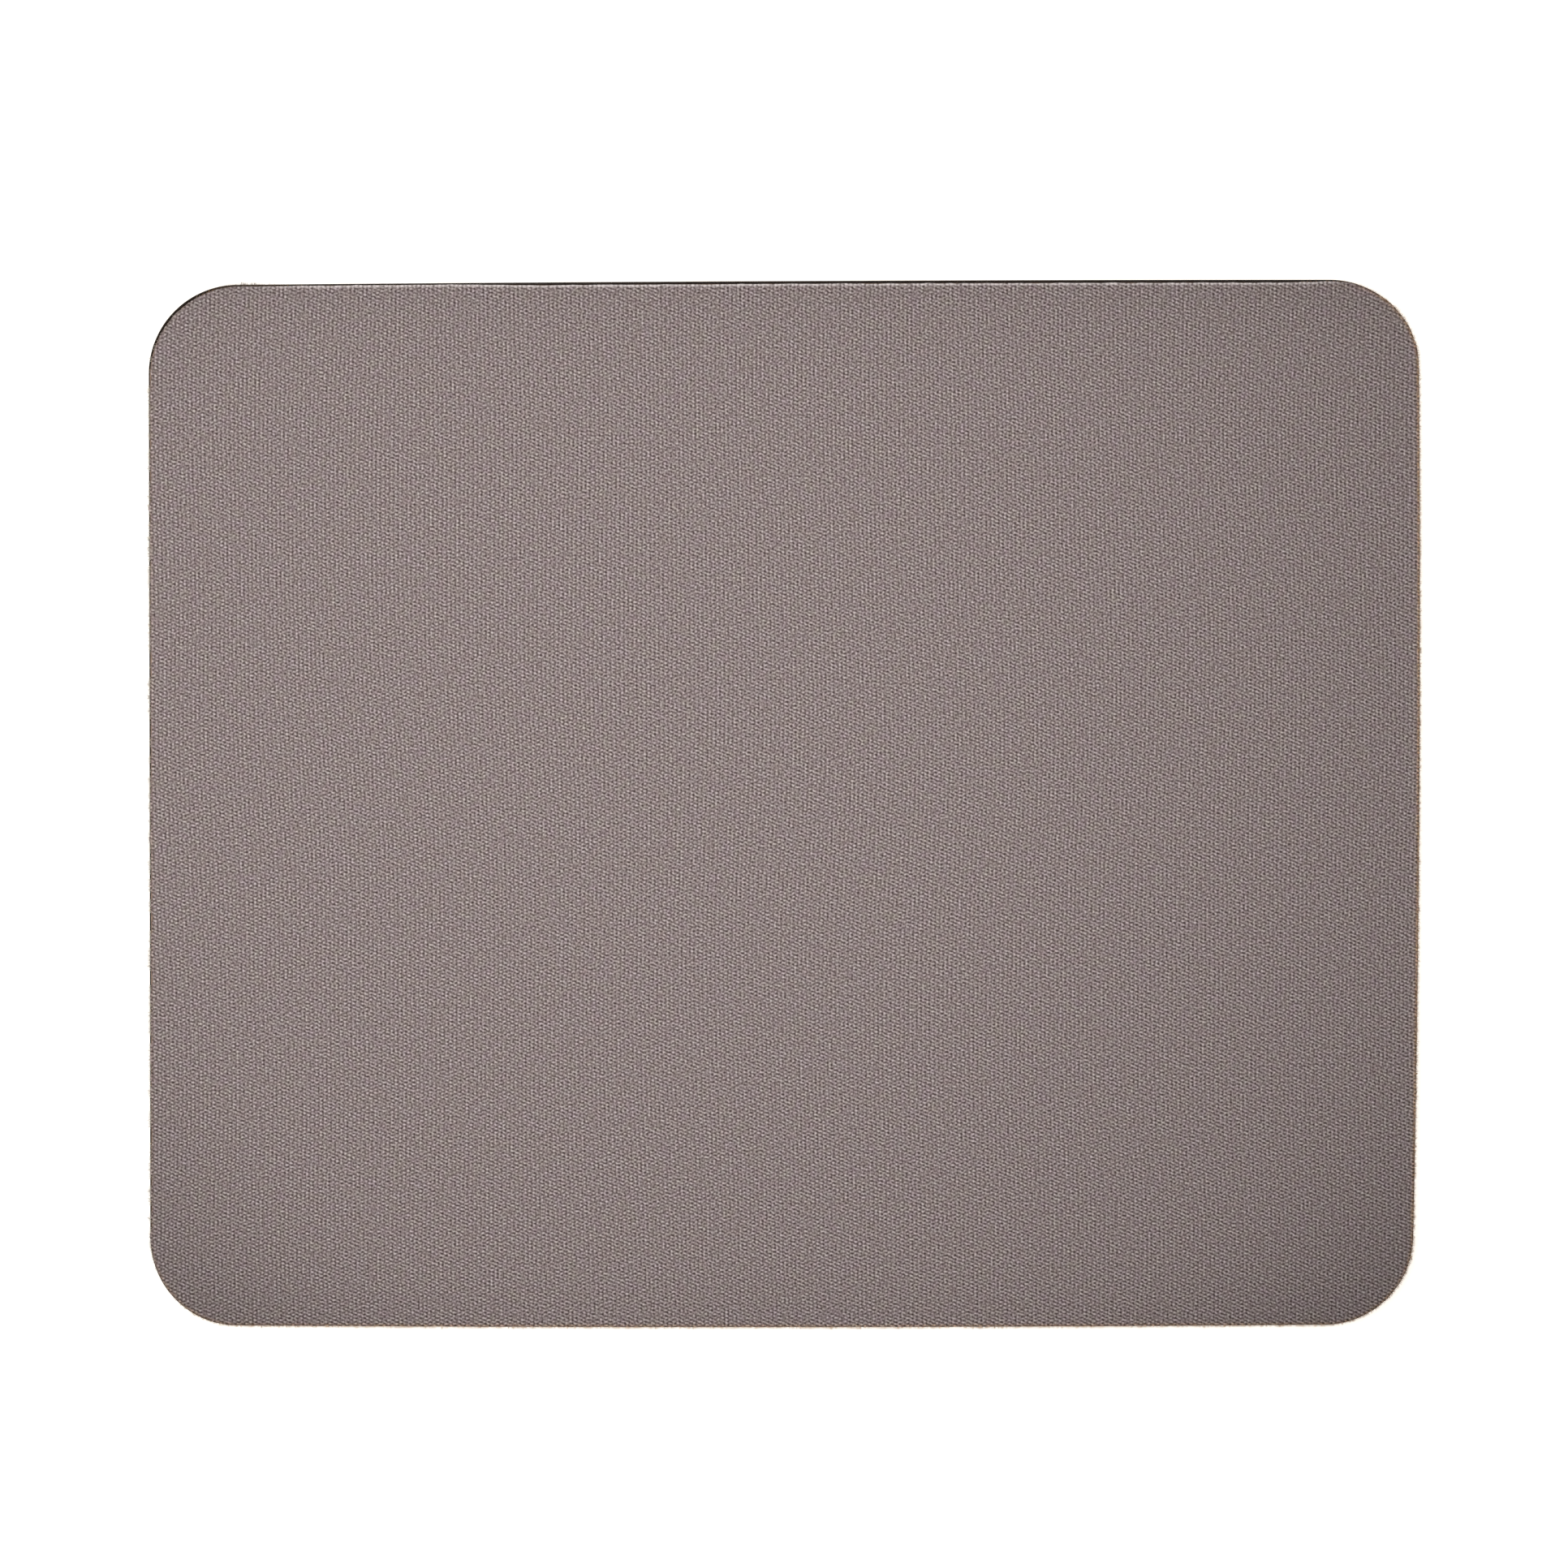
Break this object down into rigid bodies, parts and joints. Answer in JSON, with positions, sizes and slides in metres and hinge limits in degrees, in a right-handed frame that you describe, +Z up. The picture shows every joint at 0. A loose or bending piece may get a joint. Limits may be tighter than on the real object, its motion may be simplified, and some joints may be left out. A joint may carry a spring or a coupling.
{
  "type": "mouse pad",
  "caption": "Flat rounded-corner mouse pad: a taupe-grey cloth surface bonded by a thin film to a black sponge-rubber base that grips the desk.",
  "frame": {"origin": "centre of the pad's outline, on its underside, where it lies on the desk", "axes": "+X along the width, +Y along the depth away from the person who uses it, +Z up out of the cloth"},
  "size_m": [0.216, 0.178, 0.003],
  "materials": {
    "taupe_cloth": "matte",
    "hot_melt_film": "satin",
    "black_sponge_rubber": "matte"
  },
  "bodies": {
    "root": {"cloth_top": "taupe_cloth", "adhesive_film": "hot_melt_film", "sponge_rubber_base": "black_sponge_rubber"}
  },
  "joints": []
}
